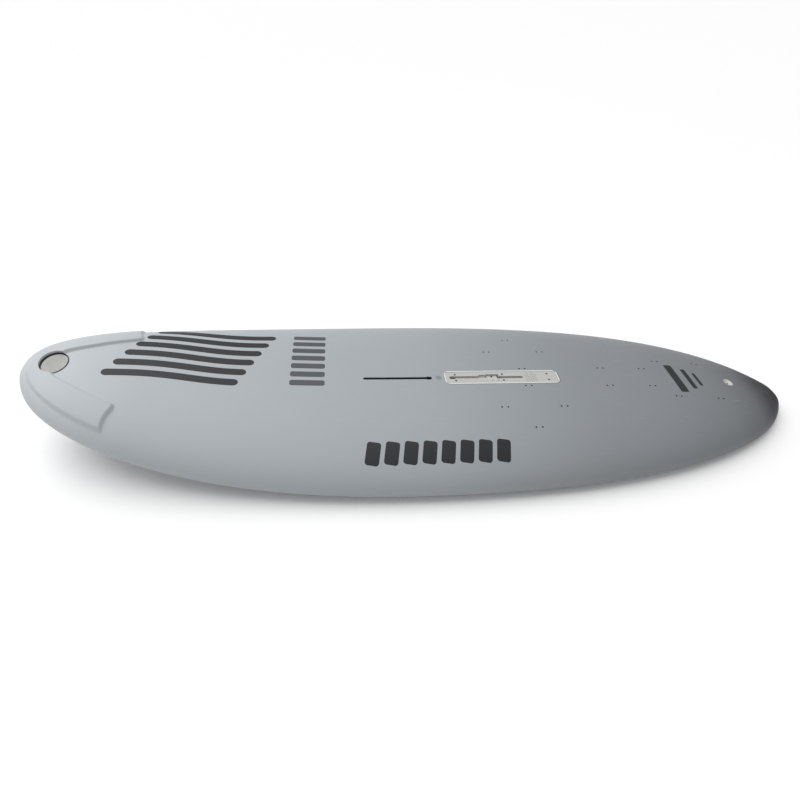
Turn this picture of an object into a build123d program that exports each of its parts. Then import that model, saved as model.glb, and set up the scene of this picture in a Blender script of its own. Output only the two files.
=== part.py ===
from build123d import *
import math
import os

# Windsurf board, in millimetres: +X to the nose, +Y to port, +Z up.
# The origin is the bottom centre of the board's box.

# Hull outline, rocker and thickness
LENGTH = 2570.0
WIDTH = 800.0
THICKNESS = 140.0
WIDE_POINT_X = 60.0
TAIL_POWER_X, TAIL_POWER_Y = 2.25, 1.8
NOSE_POWER_X, NOSE_POWER_Y = 2.1, 2.25
TIP_FRACTION = 0.9995
NOSE_SCOOP, SCOOP_START_X, SCOOP_POWER = 172.0, 30.0, 2.9
TAIL_KICK, KICK_START_X = 4.0, -750.0
TAIL_THICKNESS, NOSE_THICKNESS, THICKNESS_POWER = 45.0, 55.0, 4.5
TIP_ROUND_LENGTH, TIP_ROUND_DEPTH = 30.0, 0.9
RAIL_HEIGHT = 0.24
DECK_POWER_Y, DECK_POWER_Z = 2.8, 2.0
BOTTOM_POWER_Y, BOTTOM_POWER_Z = 5.0, 2.0
STATIONS = 25
SECTION_POINTS = 17
SKIN = 3.0
GAP = 0.3
RAIL_JOINT_GAP = 0.2
DECK_SEAMS_X, SEAM_GAP = [-430.0, 290.0, 640.0, 960.0], 0.1

# Raised band on the nose
BAND_HEIGHT = 9.0
BAND_EDGE_INSET = 29.0
BAND_END_X = 1010.0
BAND_INNER = [(992.0, 150.0), (1060.0, 122.0), (1125.0, 86.0), (1168.0, 62.0), (1184.0, 46.0)]
BAND_INNER_APEX_X = 1190.0
BAND_END_CORNER = (1000.0, 188.0)
BAND_POINTS = 9

# Carrying handle through the nose
HANDLE_X = 1196.0
HANDLE_RX, HANDLE_RY = 33.0, 46.0
LINER_WALL = 3.0
SEAL_DEPTH, SEAL_PROUD = 4.0, 1.5

# Mast track
TRACK_FRONT_X, TRACK_REAR_X = 273.0, 42.0
TRACK_SLOT_WIDTH, TRACK_ENTRY_WIDTH, TRACK_ENTRY_LENGTH = 11.0, 15.0, 22.0
TRACK_CHANNEL_WIDTH, TRACK_CHANNEL_Z0, TRACK_CHANNEL_Z1 = 20.0, 117.0, 127.0
TRACK_BOX_WIDTH, TRACK_BOX_END, TRACK_BOX_Z0, TRACK_BOX_Z1 = 28.0, 6.0, 111.0, 136.6

# Vent plug
VENT_X = 20.0
VENT_HOUSING_R, VENT_HOUSING_Z0 = 9.5, 112.0
VENT_HEAD_R, VENT_HEAD_HEIGHT, VENT_TOP_DROP = 7.2, 3.6, 0.5
VENT_SHANK_R, VENT_SHANK_LENGTH, VENT_RUNNING = 4.0, 16.0, 0.06
VENT_RING_R, VENT_RING_TUBE, VENT_RING_SEAT, VENT_SLOT = 5.4, 0.75, 1.8, 1.6
VENT_BREATHER_R = 1.5

# Centreboard pivot, lever and blade
PIVOT_X, PIVOT_Z = -166.0, 98.0
PIN_R, BUSH_R, RUNNING = 5.0, 8.0, 0.05
DRUM_R, DRUM_WIDTH, DRUM_FLAT = 34.0, 30.0, 26.0
BLADE_THICKNESS, BLADE_TOP, BLADE_CHORD = 14.0, 6.0, 92.0
BLADE_STATIONS = [(-62.0, 0.0, 1.0), (-440.0, 0.0, 1.0), (-480.0, 1.0, 0.97), (-515.0, 3.5, 0.9)]
BLADE_STATIONS += [(-542.0, 8.5, 0.79), (-560.0, 15.0, 0.66), (-570.0, 21.0, 0.52), (-574.0, 27.0, 0.4)]
FOIL_POWER_Y, FOIL_POWER_X = 0.6, 2.6
FOIL_POINTS = 11
ROOT_THICKNESS = 10.6
ROOT_OUTLINE = [(0.0, 4.0), (-110.0, 2.0), (-110.0, -72.0), (-62.0, -72.0), (-30.0, -52.0), (0.0, -33.0)]
PAD_HALF, PAD_WIDTH, PAD_TOP = 18.0, 29.4, 36.0
LEVER_FRONT, LEVER_FRONT_WIDTH = 134.0, 13.0
LEVER_REAR, LEVER_REAR_WIDTH = 102.0, 9.6
LEVER_Z0, LEVER_Z1, LEVER_REAR_Z1 = 26.0, 35.4, 34.0
THUMB_NOTCH = 12.0
LEVER_SCREW_Y, LEVER_SCREW_R, LEVER_SCREW_LENGTH = 10.0, 2.0, 14.0
LEVER_SCREW_HEAD_R, LEVER_SCREW_HEAD = 3.6, 3.0

# Centreboard case
CASE_FRONT_X, CASE_REAR_X = -72.0, -765.0
CASE_INNER, CASE_WALL = 20.0, 3.0
CASE_Z0, CASE_ROOF_Z, CASE_STEP_X = 3.8, 112.0, -282.0
FLANGE_Z0, FLANGE_Z1, FLANGE_WIDTH = 126.7, 131.7, 62.0
BULGE_R, BULGE_INNER = 43.0, 33.0
TROUGH_FRONT_X, TROUGH_Z = -16.0, 121.0
PIN_BOSS_R, PIN_HALF = 10.0, 23.7
BOTTOM_FLANGE_WIDTH, BOTTOM_FLANGE = 48.0, 3.0
HALVES_GAP = 0.2
LUG_LENGTH, LUG_WIDTH, LUG_HEIGHT = 12.0, 8.0, 14.0
LUG_Z = [20.0, 84.0]
JOIN_R, JOIN_HEAD_R, JOIN_HEAD = 2.5, 4.2, 3.0
WASHER_R, WASHER_THICK = 20.0, 1.2

# Case cover
COVER_FRONT_X, COVER_REAR_X, COVER_WIDTH = -1.0, -399.0, 65.0
COVER_Z0, COVER_Z1 = 132.0, 140.2
COVER_FRONT_R, COVER_REAR_R, COVER_REAR_GAP = 17.0, 17.0, 3.0
COVER_RIM_WIDTH, COVER_RIM_HEIGHT = 4.0, 1.2
SLOT_FRONT_WIDTH, SLOT_REAR_WIDTH, SLOT_STEP, SLOT_REAR = 14.0, 10.4, 37.0, 107.0
HUB_HALF, HUB_WIDTH = 22.2, 31.2
POCKET_LENGTH, POCKET_WIDTH, POCKET_DEPTH = 25.0, 26.0, 6.0
COVER_SCREWS_X, COVER_SCREW_Y = [-38.0, -203.0, -362.0], 15.0
COVER_SCREW_R, COVER_SCREW_HEAD_R, COVER_SCREW_HEAD, COVER_SCREW_LENGTH = 1.9, 3.6, 2.6, 12.0
GRIP_FRONT_X, GRIP_ROWS, GRIP_PITCH, GRIP_COUNT, GRIP_PITCH_Y = -284.0, 5, 8.5, 5, 9.0
GRIP_R, GRIP_HEIGHT = 2.4, 1.3

# Slot seals under the hull
SEAL_FRONT_X, SEAL_REAR_X, SEAL_INNER, SEAL_OUTER = -88.0, -746.0, 7.6, 23.6
SLOT_SEAL_Z0, SLOT_SEAL_Z1 = 0.4, 3.5

# Fin box
FIN_X = -1058.0
FIN_BOX_LENGTH, FIN_BOX_WIDTH, FIN_BOX_TOP = 186.0, 28.0, 74.0
FIN_MOUTH_LENGTH, FIN_MOUTH_WIDTH = 166.0, 18.0
FIN_ROOF_LENGTH, FIN_ROOF_WIDTH, FIN_POCKET_Z = 150.0, 15.0, 66.0
FIN_BOLT_R, FIN_TUBE_R, FIN_CUP_R, FIN_CUP_DEPTH, FIN_CUP_HEIGHT = 3.25, 8.0, 17.0, 6.0, 16.0
FIN_DISH_R, FIN_RIM = 14.5, 2.0

# Footstrap inserts: (x, y) of each two-hole insert on the port side
FRONT_INSERTS = [(-176.0, 142.0), (-268.0, 225.0), (-282.0, 44.0), (-375.0, 142.0)]
REAR_INSERTS = [(-571.0, 46.0), (-729.0, 46.0), (-805.0, 94.0), (-969.0, 94.0)]
INSERT_SPACING, INSERT_HOLE_R, INSERT_HOLE_DEPTH = 20.5, 2.5, 18.0
INSERT_LENGTH, INSERT_WIDTH, INSERT_HEIGHT = 34.0, 14.0, 22.0


def half_width(x):
    """Half the board's width at x, from one superellipse fore and one aft."""
    reach_aft = WIDE_POINT_X + LENGTH / 2
    reach_fore = LENGTH / 2 - WIDE_POINT_X
    aft = x < WIDE_POINT_X
    share = TIP_FRACTION * abs(x - WIDE_POINT_X) / (reach_aft if aft else reach_fore)
    power_x = TAIL_POWER_X if aft else NOSE_POWER_X
    power_y = TAIL_POWER_Y if aft else NOSE_POWER_Y
    return WIDTH / 2 * (1 - min(share, TIP_FRACTION) ** power_x) ** (1 / power_y)


def thickness(x):
    """Thickness on the centreline, thinning and rounding off at both tips."""
    tip = TAIL_THICKNESS if x < 0 else NOSE_THICKNESS
    share = min(abs(x) / (LENGTH / 2), 1.0)
    full = tip + (THICKNESS - tip) * (1 - share**THICKNESS_POWER)
    into_tip = max(0.0, abs(x) - (LENGTH / 2 - TIP_ROUND_LENGTH)) / TIP_ROUND_LENGTH
    return full * math.sqrt(1 - (TIP_ROUND_DEPTH * min(into_tip, 1.0)) ** 2)


def full_thickness(x):
    """Thickness on the centreline before the tips are rounded off."""
    tip = TAIL_THICKNESS if x < 0 else NOSE_THICKNESS
    return tip + (THICKNESS - tip) * (1 - min(abs(x) / (LENGTH / 2), 1.0) ** THICKNESS_POWER)


def rocker(x):
    """Height of the bottom centreline, with the tip rounding shared by deck and bottom."""
    scoop_run = max(0.0, x - SCOOP_START_X) / (LENGTH / 2 - SCOOP_START_X)
    kick_run = max(0.0, KICK_START_X - x) / (LENGTH / 2 + KICK_START_X)
    rise = NOSE_SCOOP * scoop_run**SCOOP_POWER + TAIL_KICK * kick_run**2
    return rise + RAIL_HEIGHT * (full_thickness(x) - thickness(x)) * 2


def deck_height(x, y):
    """Height of the deck surface."""
    share = min(abs(y) / half_width(x), 1.0)
    rail = RAIL_HEIGHT * thickness(x)
    return rocker(x) + rail + (thickness(x) - rail) * (1 - share**DECK_POWER_Y) ** (1 / DECK_POWER_Z)


def box(x0, x1, y0, y1, z0, z1):
    """An axis-aligned block between two corners."""
    centre = Location(((x0 + x1) / 2, (y0 + y1) / 2, (z0 + z1) / 2))
    return centre * Box(abs(x1 - x0), abs(y1 - y0), abs(z1 - z0))


def upright(x, y, z0, z1, radius):
    """A cylinder along Z."""
    return Location((x, y, (z0 + z1) / 2)) * Cylinder(radius, abs(z1 - z0))


def crosswise(x, z, y0, y1, radius):
    """A cylinder along Y."""
    turn = Location((x, (y0 + y1) / 2, z), (90, 0, 0))
    return turn * Cylinder(radius, abs(y1 - y0))


def plan_prism(sketch, z0, z1):
    """A plan outline made solid between two heights."""
    return extrude(Pos(0, 0, z0) * sketch, z1 - z0)


def station_positions(reach):
    """Lengthwise stations, closer together towards the tips."""
    step = math.pi / (STATIONS - 1)
    return [-reach * math.cos(step * i) for i in range(STATIONS)]


def section_edge(x, inset, lift, upper, joint=0.0):
    """Deck or bottom curve of one cross-section, rail to rail, its chord lowered by the joint."""
    width = half_width(x) - inset
    rail = RAIL_HEIGHT * thickness(x)
    base = rocker(x) + rail - joint
    depth = (thickness(x) - rail if upper else rail - joint) - inset + lift
    power_y = DECK_POWER_Y if upper else BOTTOM_POWER_Y
    power_z = DECK_POWER_Z if upper else BOTTOM_POWER_Z
    sign = 1 if upper else -1
    points = []
    for i in range(SECTION_POINTS):
        share = math.cos(math.pi * i / (SECTION_POINTS - 1))
        rise = max(0.0, 1 - abs(share) ** power_y) ** (1 / power_z)
        points.append((x, width * share, base + sign * depth * rise))
    places = [i / (SECTION_POINTS - 1) for i in range(SECTION_POINTS)]
    speed = sign * math.pi * depth * math.sqrt(power_y / 2)
    ends = [Vector(0, 0, speed), Vector(0, 0, -speed)]
    return Edge.make_spline([Vector(*p) for p in points], tangents=ends, parameters=places, scale=False)


def half_hull(inset, lift, upper, floor, joint=0.0):
    """Solid between the deck or bottom curve and a chord near the rail apex."""
    wires = []
    for x in station_positions(LENGTH / 2 - inset):
        curve = section_edge(x, inset, lift, upper, joint)
        start, end = curve @ 0, curve @ 1
        drop = Vector(0, 0, floor)
        if floor == 0:
            wires.append(Wire([curve, Edge.make_line(end, start)]))
        else:
            sides = [Edge.make_line(end, end + drop), Edge.make_line(end + drop, start + drop)]
            sides.append(Edge.make_line(start + drop, start))
            wires.append(Wire([curve] + sides))
    return Solid.make_loft(wires)


def full_hull(inset):
    """Whole hull form, inset on every side."""
    wires = []
    for x in station_positions(LENGTH / 2 - inset):
        upper = section_edge(x, inset, 0.0, True)
        lower = section_edge(x, inset, 0.0, False)
        wires.append(Wire([upper, lower]))
    return Solid.make_loft(wires)


def oval_plan(extra):
    """Plan outline of the handle hole, grown by a margin."""
    return Pos(HANDLE_X, 0) * Ellipse(HANDLE_RX + extra, HANDLE_RY + extra)


def slot_plan(x0, x1, width, margin):
    """Straight-sided slot with round ends."""
    length = abs(x1 - x0) + 2 * margin
    return Pos((x0 + x1) / 2, 0) * RectangleRounded(length, width + 2 * margin, (width + 2 * margin) / 2.02)


def track_plan(margin):
    """Mast track slot with its wider entry at the rear."""
    entry_x = TRACK_REAR_X + TRACK_ENTRY_LENGTH
    slot = slot_plan(TRACK_REAR_X, TRACK_FRONT_X, TRACK_SLOT_WIDTH, margin)
    return slot + slot_plan(TRACK_REAR_X, entry_x, TRACK_ENTRY_WIDTH, margin)


def cover_plan(margin):
    """Round-cornered cover outline, grown by a margin."""
    half = COVER_WIDTH / 2 + margin
    front, rear = COVER_FRONT_X + margin, COVER_REAR_X - margin
    with BuildSketch() as outline:
        with BuildLine():
            Polyline((rear, -half), (front, -half), (front, half), (rear, half), close=True)
        make_face()
        fillet(outline.vertices().group_by(Axis.X)[-1], COVER_FRONT_R + margin)
        fillet(outline.vertices().group_by(Axis.X)[0], COVER_REAR_R + margin)
    return outline.sketch


def cover_opening():
    """Outline of the cover's seat in the deck, with a finger-nail gap behind it."""
    return cover_plan(GAP) + Pos(-COVER_REAR_GAP, 0) * cover_plan(GAP)


def band_plan():
    """U-shaped outline of the raised nose band, a constant way inside the rail."""
    outer = []
    step = 1.0
    for i in range(BAND_POINTS):
        turn = math.pi / 2 * i / (BAND_POINTS - 1)
        x = BAND_END_X + (LENGTH / 2 - BAND_EDGE_INSET - BAND_END_X) * math.sin(turn)
        slope = (half_width(x) - half_width(x - step)) / step
        size = math.hypot(1.0, slope)
        outer.append((x, max(half_width(x) - BAND_EDGE_INSET * size, 0.0)))
    outer = [p for p in outer if p[1] > BAND_EDGE_INSET / 2]
    tip = (LENGTH / 2 - BAND_EDGE_INSET, 0.0)
    mirrored = [(x, -y) for x, y in reversed(outer)]
    inner = BAND_INNER + [(BAND_INNER_APEX_X, 0.0)] + [(x, -y) for x, y in reversed(BAND_INNER)]
    corner = (BAND_END_CORNER[0], -BAND_END_CORNER[1])
    with BuildSketch() as plan:
        with BuildLine():
            Spline(*(outer + [tip] + mirrored))
            Spline(mirrored[-1], corner, inner[-1])
            Spline(*reversed(inner))
            Spline(inner[0], BAND_END_CORNER, outer[0])
        make_face()
    return plan.sketch


def insert_places(side, places):
    """Centre and top height of each insert, clear under the sloping skin."""
    tops = []
    for x, y in places:
        rise_x = abs(deck_height(x + INSERT_LENGTH / 2, y) - deck_height(x - INSERT_LENGTH / 2, y)) / 2
        rise_y = abs(deck_height(x, y + INSERT_WIDTH / 2) - deck_height(x, y - INSERT_WIDTH / 2)) / 2
        tops.append((x, side * y, deck_height(x, y) - SKIN - 2 * GAP - rise_x - rise_y))
    return tops


def insert_block(place, margin, z1):
    """Block the size of one insert, grown by a margin, up to a height."""
    x, y, top = place
    half_length, half = INSERT_LENGTH / 2 + margin, INSERT_WIDTH / 2 + margin
    return box(x - half_length, x + half_length, y - half, y + half, top - INSERT_HEIGHT - margin, z1)


def insert_holes(place, z0, z1, radius):
    """The insert's two screw holes, in line with the board."""
    x, y, _ = place
    half = INSERT_SPACING / 2
    return [upright(x - half, y, z0, z1, radius), upright(x + half, y, z0, z1, radius)]


def all_insert_places():
    """Every insert on both sides."""
    return [p for side in (1, -1) for p in insert_places(side, FRONT_INSERTS + REAR_INSERTS)]


def strap_inserts(side, places):
    """Two-hole screw plugs for the footstraps of one side."""
    plugs = []
    for place in insert_places(side, places):
        plug = insert_block(place, 0.0, place[2])
        for hole in insert_holes(place, place[2] - INSERT_HOLE_DEPTH, 2 * THICKNESS, INSERT_HOLE_R):
            plug -= hole
        plugs.append(plug.solid())
    return Compound(children=plugs)


def deck_panels(skin):
    """The upper shell in panels, so that each one is nearly free of hollows."""
    ends = [-LENGTH] + DECK_SEAMS_X + [LENGTH]
    panels = []
    for x0, x1 in zip(ends, ends[1:]):
        room = box(x0 + SEAM_GAP / 2, x1 - SEAM_GAP / 2, -WIDTH, WIDTH, 0, 3 * THICKNESS)
        panels.append((skin & room).solid())
    return Compound(children=panels)


def deck_skin():
    """Upper shell with the nose band and every deck opening."""
    outer = half_hull(0.0, 0.0, True, 0.0)
    inner = half_hull(SKIN, 0.0, True, -SKIN)
    skin = outer - inner
    lifted = half_hull(0.0, BAND_HEIGHT, True, 0.0)
    band = (lifted & plan_prism(band_plan(), 0, 2 * THICKNESS)) - inner
    skin = skin + band
    tall = 3 * THICKNESS
    skin -= plan_prism(oval_plan(LINER_WALL + GAP), 0, tall)
    skin -= plan_prism(track_plan(0.0), 0, tall)
    skin -= plan_prism(cover_opening(), 0, tall)
    skin -= upright(VENT_X, 0, 0, tall, VENT_HOUSING_R + GAP)
    skin -= upright(FIN_X, 0, 0, tall, FIN_CUP_R + GAP)
    for place in all_insert_places():
        for hole in insert_holes(place, place[2] - SKIN, tall, INSERT_HOLE_R):
            skin -= hole
    return deck_panels(skin)


def hull_skin():
    """Lower shell with the slots for the centreboard, fin and handle."""
    outer = half_hull(0.0, 0.0, False, 0.0, RAIL_JOINT_GAP)
    skin = outer - half_hull(SKIN, 0.0, False, SKIN, RAIL_JOINT_GAP)
    skin -= plan_prism(oval_plan(LINER_WALL + GAP), -THICKNESS, 3 * THICKNESS)
    half = BOTTOM_FLANGE_WIDTH / 2 + GAP
    slot_end = CASE_WALL + BOTTOM_FLANGE
    skin -= box(CASE_REAR_X - slot_end, CASE_FRONT_X + slot_end, -half, half, -THICKNESS, SKIN + BOTTOM_FLANGE)
    half_length = FIN_BOX_LENGTH / 2 + GAP
    half = FIN_BOX_WIDTH / 2 + GAP
    skin -= box(FIN_X - half_length, FIN_X + half_length, -half, half, -THICKNESS, THICKNESS)
    return skin


def case_envelope(margin):
    """Room that the closed case takes up inside the foam."""
    half = CASE_INNER / 2 + CASE_WALL + margin
    front = CASE_FRONT_X + CASE_WALL + LUG_LENGTH + margin
    rear = CASE_REAR_X - CASE_WALL - LUG_LENGTH - margin
    room = box(rear, front, -half, half, -THICKNESS, CASE_ROOF_Z + CASE_WALL + margin)
    cover_room = FLANGE_WIDTH / 2 + margin
    room += box(COVER_REAR_X, COVER_FRONT_X, -cover_room, cover_room, CASE_ROOF_Z - margin, COVER_Z1)
    bulge = BULGE_INNER / 2 + CASE_WALL + margin
    room += crosswise(PIVOT_X, PIVOT_Z, -bulge, bulge, BULGE_R + CASE_WALL + margin)
    room += crosswise(PIVOT_X, PIVOT_Z, -PIN_HALF - 2 * CASE_WALL, PIN_HALF + 2 * CASE_WALL, PIN_BOSS_R + margin)
    flange = BOTTOM_FLANGE_WIDTH / 2 + margin
    room += box(rear, front, -flange, flange, -THICKNESS, CASE_Z0 + BOTTOM_FLANGE + margin)
    return room


def foam_core():
    """Foam inside the shell, cut away around every fitting."""
    core = full_hull(SKIN + GAP)
    core -= plan_prism(oval_plan(LINER_WALL + GAP), -THICKNESS, 3 * THICKNESS)
    core -= case_envelope(GAP)
    core -= plan_prism(cover_opening(), COVER_Z0 - 2 * GAP, 2 * THICKNESS)
    half = TRACK_BOX_WIDTH / 2 + GAP
    ends = TRACK_BOX_END + GAP
    core -= box(TRACK_REAR_X - ends, TRACK_FRONT_X + ends, -half, half, TRACK_BOX_Z0 - GAP, 2 * THICKNESS)
    core -= upright(VENT_X, 0, VENT_HOUSING_Z0 - GAP, 2 * THICKNESS, VENT_HOUSING_R + GAP)
    half_length = FIN_BOX_LENGTH / 2 + GAP
    half = FIN_BOX_WIDTH / 2 + GAP
    core -= box(FIN_X - half_length, FIN_X + half_length, -half, half, -THICKNESS, FIN_BOX_TOP + GAP)
    core -= upright(FIN_X, 0, FIN_BOX_TOP, 2 * THICKNESS, FIN_TUBE_R + GAP)
    cup_z = deck_height(FIN_X, 0) - FIN_CUP_HEIGHT
    core -= upright(FIN_X, 0, cup_z - GAP, 2 * THICKNESS, FIN_CUP_R + GAP)
    for place in all_insert_places():
        core -= insert_block(place, GAP, 2 * THICKNESS)
    return core


def nose_handle_liner():
    """Smooth wall of the carrying hole, deck to bottom."""
    ring = oval_plan(LINER_WALL) - oval_plan(0.0)
    wall = plan_prism(ring, -THICKNESS, 3 * THICKNESS) & full_hull(0.0)
    return wall & (Pos(0, 0, -SEAL_DEPTH) * full_hull(0.0) + plan_prism(oval_plan(LINER_WALL + GAP), 0, 170.0))


def nose_handle_seal():
    """Soft ring that finishes the deck end of the carrying hole."""
    ring = oval_plan(LINER_WALL) - oval_plan(LINER_WALL / 6)
    ring_wall = plan_prism(ring, HANDLE_X / 7, 3 * THICKNESS)
    below = Pos(0, 0, -SEAL_DEPTH + GAP) * full_hull(0.0)
    return (ring_wall & (Pos(0, 0, SEAL_PROUD) * full_hull(0.0))) - below


def mast_track_box():
    """T-slot block for the mast foot's sliding nut."""
    half = TRACK_BOX_WIDTH / 2
    front, rear = TRACK_FRONT_X + TRACK_BOX_END, TRACK_REAR_X - TRACK_BOX_END
    block = box(rear, front, -half, half, TRACK_BOX_Z0, TRACK_BOX_Z1)
    block -= plan_prism(track_plan(0.0), TRACK_CHANNEL_Z0, THICKNESS)
    channel = slot_plan(TRACK_REAR_X, TRACK_FRONT_X, TRACK_CHANNEL_WIDTH, 0.0)
    return block - plan_prism(channel, TRACK_CHANNEL_Z0, TRACK_CHANNEL_Z1)


def vent_top():
    """Height of the vent housing's rim."""
    return deck_height(VENT_X, 0) - GAP


def vent_housing():
    """Threaded cup of the air vent, open to the foam through a small hole."""
    head_z = vent_top() - VENT_TOP_DROP - VENT_HEAD_HEIGHT
    cup = upright(VENT_X, 0, VENT_HOUSING_Z0, vent_top(), VENT_HOUSING_R)
    cup -= upright(VENT_X, 0, head_z - VENT_RING_SEAT, 2 * THICKNESS, VENT_HEAD_R + GAP)
    shank_z = head_z - VENT_SHANK_LENGTH - 2 * GAP
    cup -= upright(VENT_X, 0, shank_z, vent_top(), VENT_SHANK_R + VENT_RUNNING)
    return cup - upright(VENT_X, 0, 0, vent_top(), VENT_BREATHER_R)


def vent_screw():
    """Vent screw with a coin slot."""
    top = vent_top() - VENT_TOP_DROP
    head = upright(VENT_X, 0, top - VENT_HEAD_HEIGHT, top, VENT_HEAD_R)
    head += upright(VENT_X, 0, top - VENT_HEAD_HEIGHT - VENT_SHANK_LENGTH, top, VENT_SHANK_R)
    half = VENT_HEAD_R - VENT_SLOT / 2
    return head - box(VENT_X - half, VENT_X + half, -VENT_SLOT / 2, VENT_SLOT / 2, top - VENT_SLOT, top + 1)


def vent_oring():
    """Sealing ring under the vent screw's head."""
    z = vent_top() - VENT_TOP_DROP - VENT_HEAD_HEIGHT - VENT_RING_SEAT / 2
    return Location((VENT_X, 0, z)) * Torus(VENT_RING_R, VENT_RING_TUBE)


def case_half(side):
    """One moulded half of the centreboard case."""
    y0 = HALVES_GAP / 2
    y1 = CASE_INNER / 2 + CASE_WALL
    front, rear = CASE_FRONT_X + CASE_WALL, CASE_REAR_X - CASE_WALL
    body = box(rear, front, y0, y1, CASE_Z0, CASE_ROOF_Z + CASE_WALL)
    step = CASE_STEP_X - CASE_WALL
    body += box(step, front, y0, y1, CASE_ROOF_Z, FLANGE_Z1)
    body += box(COVER_REAR_X + 1, COVER_FRONT_X - 1, y0, FLANGE_WIDTH / 2, FLANGE_Z0, FLANGE_Z1)
    body += box(front, COVER_FRONT_X - 4, y0, y1, TROUGH_Z - CASE_WALL, FLANGE_Z1)
    bulge = BULGE_INNER / 2 + CASE_WALL
    wall = crosswise(PIVOT_X, PIVOT_Z, y0, bulge, BULGE_R + CASE_WALL)
    body += wall & box(-LENGTH, LENGTH, 0, WIDTH, 0, FLANGE_Z1)
    body += crosswise(PIVOT_X, PIVOT_Z, y0, PIN_HALF + CASE_WALL, PIN_BOSS_R)
    body += box(rear - CASE_WALL, front + CASE_WALL, y0, BOTTOM_FLANGE_WIDTH / 2, CASE_Z0, CASE_Z0 + BOTTOM_FLANGE)
    for z in LUG_Z:
        for x in (front + LUG_LENGTH / 2, rear - LUG_LENGTH / 2):
            lug = box(x - LUG_LENGTH / 2, x + LUG_LENGTH / 2, y0, LUG_WIDTH, z, z + LUG_HEIGHT)
            body += lug
    body -= box(CASE_REAR_X, CASE_FRONT_X, -1, CASE_INNER / 2, 0, CASE_ROOF_Z)
    body -= box(CASE_STEP_X, CASE_FRONT_X, -1, CASE_INNER / 2, 0, THICKNESS)
    body -= box(CASE_FRONT_X, TROUGH_FRONT_X, -1, CASE_INNER / 2, TROUGH_Z, THICKNESS)
    body -= crosswise(PIVOT_X, PIVOT_Z, -1, BULGE_INNER / 2, BULGE_R)
    body -= crosswise(PIVOT_X, PIVOT_Z, 0, PIN_HALF + GAP, PIN_R + RUNNING)
    for z in LUG_Z:
        for x in (front + LUG_LENGTH / 2, rear - LUG_LENGTH / 2):
            body -= crosswise(x, z + LUG_HEIGHT / 2, 0, WIDTH, JOIN_R + RUNNING)
    for x in COVER_SCREWS_X:
        body -= upright(x, COVER_SCREW_Y, FLANGE_Z0 - 1, THICKNESS, COVER_SCREW_R + RUNNING)
    body = body.solid()
    return body if side > 0 else mirror(body, Plane.XZ)


def case_joining_screws():
    """Cross screws that hold the two case halves together."""
    screws = []
    front, rear = CASE_FRONT_X + CASE_WALL, CASE_REAR_X - CASE_WALL
    for z in LUG_Z:
        for x in (front + LUG_LENGTH / 2, rear - LUG_LENGTH / 2):
            middle = z + LUG_HEIGHT / 2
            screw = crosswise(x, middle, -LUG_WIDTH, LUG_WIDTH + GAP, JOIN_R)
            screw += crosswise(x, middle, LUG_WIDTH + GAP, LUG_WIDTH + GAP + JOIN_HEAD, JOIN_HEAD_R)
            screws.append(screw.solid())
    return Compound(children=screws)


def grip_places():
    """Centres of the grip domes, every other row offset by half a pitch."""
    places = []
    for row in range(GRIP_ROWS):
        for i in range(GRIP_COUNT):
            shift = (GRIP_COUNT - 1) / 2 + (0.25 if row % 2 else -0.25)
            places.append((GRIP_FRONT_X - row * GRIP_PITCH, (i - shift) * GRIP_PITCH_Y))
    return places


def case_cover():
    """Rimmed deck plate over the case, with the lever slot, hub window and grip domes."""
    plate = plan_prism(cover_plan(0.0), COVER_Z0, COVER_Z1 + COVER_RIM_HEIGHT)
    plate -= plan_prism(cover_plan(-COVER_RIM_WIDTH), COVER_Z1, COVER_Z1 + 2 * COVER_RIM_HEIGHT)
    pocket_x = PIVOT_X + HUB_HALF + POCKET_LENGTH / 2
    pocket = Pos(pocket_x, 0) * RectangleRounded(POCKET_LENGTH, POCKET_WIDTH, POCKET_WIDTH / 4)
    plate -= plan_prism(pocket, COVER_Z1 - POCKET_DEPTH, THICKNESS + 1)
    hub_x0, hub_x1 = PIVOT_X - HUB_HALF, PIVOT_X + HUB_HALF
    plate -= box(hub_x0, hub_x1, -HUB_WIDTH / 2, HUB_WIDTH / 2, 0, 2 * THICKNESS)
    front_slot = slot_plan(PIVOT_X - SLOT_STEP, TROUGH_FRONT_X - 1, SLOT_FRONT_WIDTH, 0.0)
    plate -= plan_prism(front_slot, 0, 2 * THICKNESS)
    rear_slot = slot_plan(PIVOT_X - SLOT_REAR, PIVOT_X, SLOT_REAR_WIDTH, 0.0)
    plate -= plan_prism(rear_slot, 0, 2 * THICKNESS)
    for x in COVER_SCREWS_X:
        for y in (-COVER_SCREW_Y, COVER_SCREW_Y):
            plate -= upright(x, y, 0, 2 * THICKNESS, COVER_SCREW_R + RUNNING)
            plate -= upright(x, y, COVER_Z1 - COVER_SCREW_HEAD - GAP, 2 * THICKNESS, COVER_SCREW_HEAD_R + GAP)
    for x, y in grip_places():
        plate += upright(x, y, COVER_Z1 - 1, COVER_Z1 + GRIP_HEIGHT, GRIP_R)
    return plate


def cover_screws():
    """Countersunk screws that hold the cover to the case flange."""
    screws = []
    for x in COVER_SCREWS_X:
        for y in (-COVER_SCREW_Y, COVER_SCREW_Y):
            top = COVER_Z1 - GAP
            screw = upright(x, y, top - COVER_SCREW_HEAD, top, COVER_SCREW_HEAD_R)
            screw += upright(x, y, top - COVER_SCREW_LENGTH, top, COVER_SCREW_R)
            screws.append(screw.solid())
    return Compound(children=screws)


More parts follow.
